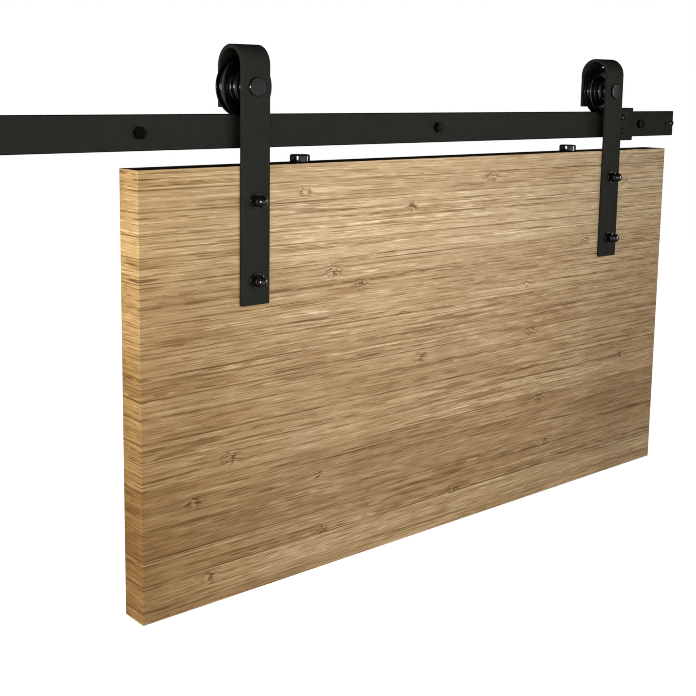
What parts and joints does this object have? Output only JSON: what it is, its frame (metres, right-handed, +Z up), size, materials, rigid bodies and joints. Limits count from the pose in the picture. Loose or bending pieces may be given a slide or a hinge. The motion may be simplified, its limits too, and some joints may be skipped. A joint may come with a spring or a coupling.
{
  "type": "sliding barn door hardware",
  "caption": "Flat-bar rail on wall standoffs with clamp-on end stops, and J-strap hangers on grooved wheels that carry a short solid wood door panel.",
  "frame": {"origin": "on the wall plane, at the centre of the middle standoff's seat, on the rail's centre line", "axes": "+X along the rail to the right as seen from the room, +Y into the wall, +Z up"},
  "size_m": [2.012, 0.1289, 0.6593],
  "materials": {
    "satin_black_steel": "satin black powder coat",
    "black_oxide_steel": "black oxide",
    "gloss_black_steel": "gloss black",
    "wheel_black": "glossy black moulded",
    "bumper_rubber": "matt",
    "zinc_steel": "zinc plated",
    "bearing_steel": "ground",
    "laminated_wood": "clear matt, grain along the rail"
  },
  "bodies": {
    "track": {"rail": "satin_black_steel", "standoff_1": "satin_black_steel", "lag_screw_1": "black_oxide_steel", "standoff_2": "satin_black_steel", "lag_screw_2": "black_oxide_steel", "standoff_3": "satin_black_steel", "lag_screw_3": "black_oxide_steel", "standoff_4": "satin_black_steel", "lag_screw_4": "black_oxide_steel", "standoff_5": "satin_black_steel", "lag_screw_5": "black_oxide_steel", "stop_block_left": "satin_black_steel", "stop_bumper_left": "bumper_rubber", "stop_screw_left_upper": "gloss_black_steel", "stop_screw_left_lower": "gloss_black_steel", "rail_end_screw_left": "gloss_black_steel", "stop_block_right": "satin_black_steel", "stop_bumper_right": "bumper_rubber", "stop_screw_right_upper": "gloss_black_steel", "stop_screw_right_lower": "gloss_black_steel", "rail_end_screw_right": "gloss_black_steel"},
    "door": {"door_panel": "laminated_wood", "hanger_strap_left": "satin_black_steel", "axle_bolt_left": "gloss_black_steel", "axle_nut_left": "satin_black_steel", "front_spacer_left": "gloss_black_steel", "rear_spacer_left": "gloss_black_steel", "bearing_inner_ring_left": "bearing_steel", "anti_jump_disc_left": "gloss_black_steel", "disc_screw_left": "zinc_steel", "door_bolt_left_upper": "zinc_steel", "bolt_washer_left_upper": "gloss_black_steel", "cap_nut_left_upper": "gloss_black_steel", "door_bolt_left_lower": "zinc_steel", "bolt_washer_left_lower": "gloss_black_steel", "cap_nut_left_lower": "gloss_black_steel", "hanger_strap_right": "satin_black_steel", "axle_bolt_right": "gloss_black_steel", "axle_nut_right": "satin_black_steel", "front_spacer_right": "gloss_black_steel", "rear_spacer_right": "gloss_black_steel", "bearing_inner_ring_right": "bearing_steel", "anti_jump_disc_right": "gloss_black_steel", "disc_screw_right": "zinc_steel", "door_bolt_right_upper": "zinc_steel", "bolt_washer_right_upper": "gloss_black_steel", "cap_nut_right_upper": "gloss_black_steel", "door_bolt_right_lower": "zinc_steel", "bolt_washer_right_lower": "gloss_black_steel", "cap_nut_right_lower": "gloss_black_steel"},
    "left_wheel": {"wheel_left": "wheel_black", "bearing_outer_ring_left": "bearing_steel", "bearing_balls_left": "bearing_steel"},
    "right_wheel": {"wheel_right": "wheel_black", "bearing_outer_ring_right": "bearing_steel", "bearing_balls_right": "bearing_steel"}
  },
  "joints": [
    {"name": "door_slide", "type": "slide", "parent": "track", "child": "door", "axis": [-1, 0, 0], "range_m": [0, 0.9557]},
    {"name": "left_wheel_spin", "type": "hinge", "parent": "door", "child": "left_wheel", "pos_m": [0.14109, -0.04, 0.0512], "axis": [0, 1, 0], "continuous": true},
    {"name": "right_wheel_spin", "type": "hinge", "parent": "door", "child": "right_wheel", "pos_m": [0.81459, -0.04, 0.0512], "axis": [0, 1, 0], "continuous": true}
  ],
  "couplings": [
    {"joint": "left_wheel_spin", "follows": "door_slide", "rad_per_m": -32.258},
    {"joint": "right_wheel_spin", "follows": "door_slide", "rad_per_m": -32.258}
  ]
}
